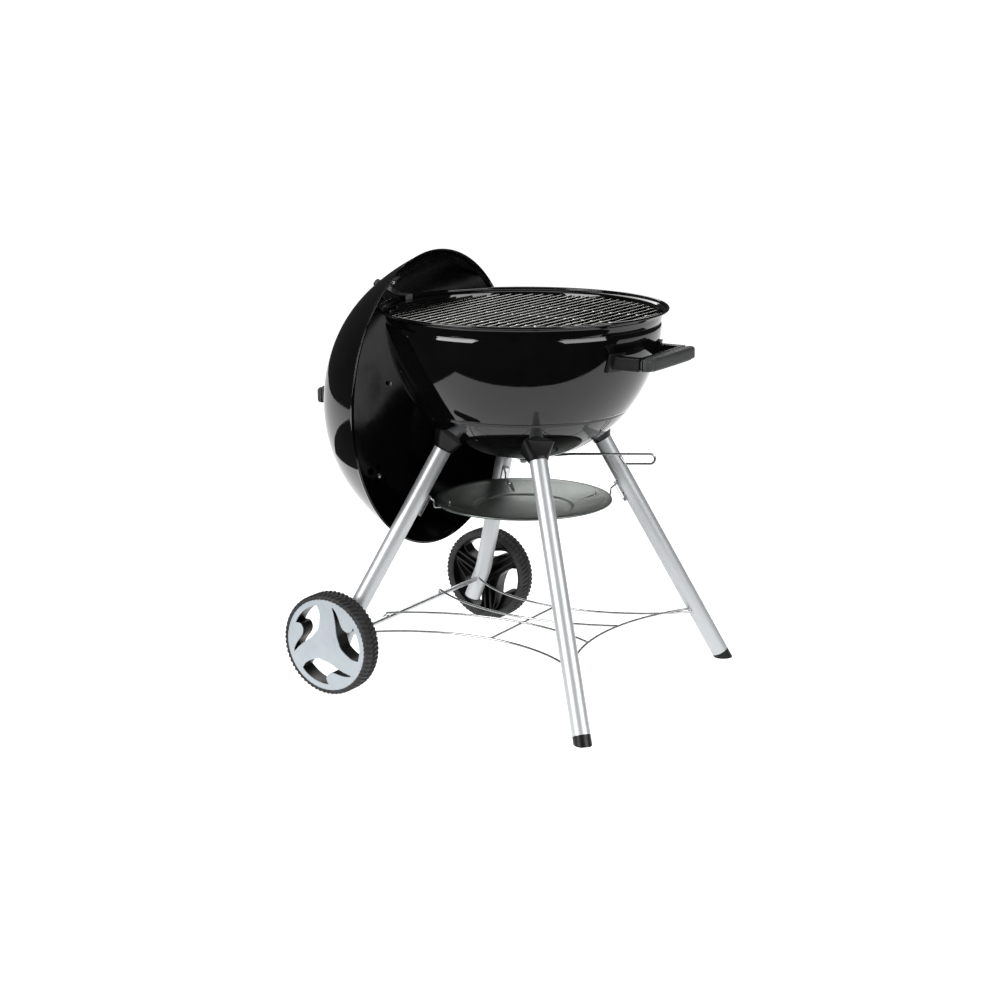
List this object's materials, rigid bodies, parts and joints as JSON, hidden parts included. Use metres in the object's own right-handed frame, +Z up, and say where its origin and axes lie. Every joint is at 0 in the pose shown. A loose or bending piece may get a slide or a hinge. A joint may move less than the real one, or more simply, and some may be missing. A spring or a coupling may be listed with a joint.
{
  "type": "kettle charcoal grill",
  "caption": "Round bowl on four splayed tube legs, two of them wheeled, with a domed lid hung on the rim, grates, ash pan, lever, wire shelf and side handles.",
  "frame": {"origin": "on the ground, in the middle of the grill's overall footprint, 54 mm from the bowl's axis towards the hanging lid", "axes": "+Z up; +X from the wheels and the hanging lid towards the bowl's handle and the two capped feet; +Y to the right seen from the lid, along the axle"},
  "size_m": [0.7722, 0.6384, 0.8499],
  "materials": {
    "black_enamel": "glossy black porcelain enamel",
    "black_metal": "satin black paint",
    "dark_plastic": "fine textured dark grey",
    "black_plastic": "semi-matt black",
    "satin_aluminium": "satin, drawn lengthwise",
    "zinc_steel": "bright zinc plate",
    "chromed_wire": "bright plated wire",
    "galvanised_sheet": "dull galvanised sheet",
    "tyre_rubber": "matt black",
    "grey_plastic": "satin light blue-grey"
  },
  "bodies": {
    "stand": {"bowl": "black_enamel", "bowl_handle": "black_plastic", "bowl_handle_grip": "dark_plastic", "bowl_handle_bolts": "zinc_steel", "cooking_grate_brackets": "black_metal", "charcoal_grate_brackets": "black_metal", "leg_socket_foot_left": "black_plastic", "leg_socket_foot_right": "black_plastic", "leg_socket_wheel_left": "black_plastic", "leg_socket_wheel_right": "black_plastic", "leg_foot_left": "satin_aluminium", "leg_foot_right": "satin_aluminium", "leg_wheel_left": "satin_aluminium", "leg_wheel_right": "satin_aluminium", "leg_bolts": "zinc_steel", "foot_cap_left": "black_plastic", "foot_cap_right": "black_plastic", "leg_end_plugs": "black_plastic", "axle": "zinc_steel", "axle_washers": "zinc_steel", "axle_nuts": "zinc_steel", "shelf_side_wire_left": "chromed_wire", "shelf_side_wire_right": "chromed_wire", "shelf_inner_wire_left": "chromed_wire", "shelf_inner_wire_right": "chromed_wire", "shelf_front_wire": "chromed_wire", "shelf_cross_wire": "chromed_wire", "ash_pan_hooks": "chromed_wire", "ash_pan_clips": "zinc_steel"},
    "wheel_left": {"tyre_left": "tyre_rubber", "wheel_core_left": "black_plastic", "wheel_cover_left": "grey_plastic", "hub_bush_left": "black_plastic"},
    "wheel_right": {"tyre_right": "tyre_rubber", "wheel_core_right": "black_plastic", "wheel_cover_right": "grey_plastic", "hub_bush_right": "black_plastic"},
    "ash_pan": {"ash_pan": "galvanised_sheet"},
    "cooking_grate": {"cooking_grate_ring": "chromed_wire", "cooking_grate_bars": "chromed_wire", "cooking_grate_cross_bars": "chromed_wire"},
    "charcoal_grate": {"charcoal_grate_ring": "zinc_steel", "charcoal_grate_bars": "zinc_steel", "charcoal_grate_cross_bars": "zinc_steel"},
    "ash_lever": {"ash_sweeper": "zinc_steel", "ash_lever": "chromed_wire", "lever_pivot": "zinc_steel", "lever_nut": "zinc_steel"},
    "lid": {"lid": "black_enamel", "lid_handle": "black_plastic", "lid_handle_grip": "dark_plastic", "lid_handle_bolts": "zinc_steel", "lid_hook": "zinc_steel", "lid_hook_rivets": "zinc_steel", "damper_rivet_upper": "zinc_steel", "damper_rivet_lower": "zinc_steel"},
    "damper_upper": {"lid_damper_upper": "satin_aluminium", "damper_knob_upper": "dark_plastic"},
    "damper_lower": {"lid_damper_lower": "satin_aluminium", "damper_knob_lower": "dark_plastic"}
  },
  "joints": [
    {"name": "wheel_left_spin", "type": "hinge", "parent": "stand", "child": "wheel_left", "pos_m": [-0.20957, -0.295, 0.101], "axis": [0, 1, 0], "continuous": true},
    {"name": "wheel_right_spin", "type": "hinge", "parent": "stand", "child": "wheel_right", "pos_m": [-0.20957, 0.295, 0.101], "axis": [0, 1, 0], "continuous": true},
    {"name": "lid_lift", "type": "slide", "parent": "stand", "child": "lid", "axis": [0, 0, 1], "range_m": [0, 0.12]},
    {"name": "damper_upper_turn", "type": "hinge", "parent": "lid", "child": "damper_upper", "pos_m": [-0.30413, 0, 0.72824], "axis": [-0.8567, 0, 0.5158], "range_deg": [0, 45]},
    {"name": "damper_lower_turn", "type": "hinge", "parent": "lid", "child": "damper_lower", "pos_m": [-0.29785, 0, 0.36829], "axis": [-0.8382, 0, -0.5454], "range_deg": [0, 45]},
    {"name": "ash_lever_sweep", "type": "hinge", "parent": "stand", "child": "ash_lever", "pos_m": [0.05413, 0, 0.453], "axis": [0, 0, 1], "range_deg": [-45, 8]},
    {"name": "cooking_grate_lift", "type": "slide", "parent": "stand", "child": "cooking_grate", "axis": [0, 0, 1], "range_m": [0, 0.05]},
    {"name": "charcoal_grate_lift", "type": "slide", "parent": "stand", "child": "charcoal_grate", "axis": [0, 0, 1], "range_m": [0, 0.1]},
    {"name": "ash_pan_lift", "type": "slide", "parent": "stand", "child": "ash_pan", "axis": [0, 0, 1], "range_m": [0, 0.02]}
  ]
}
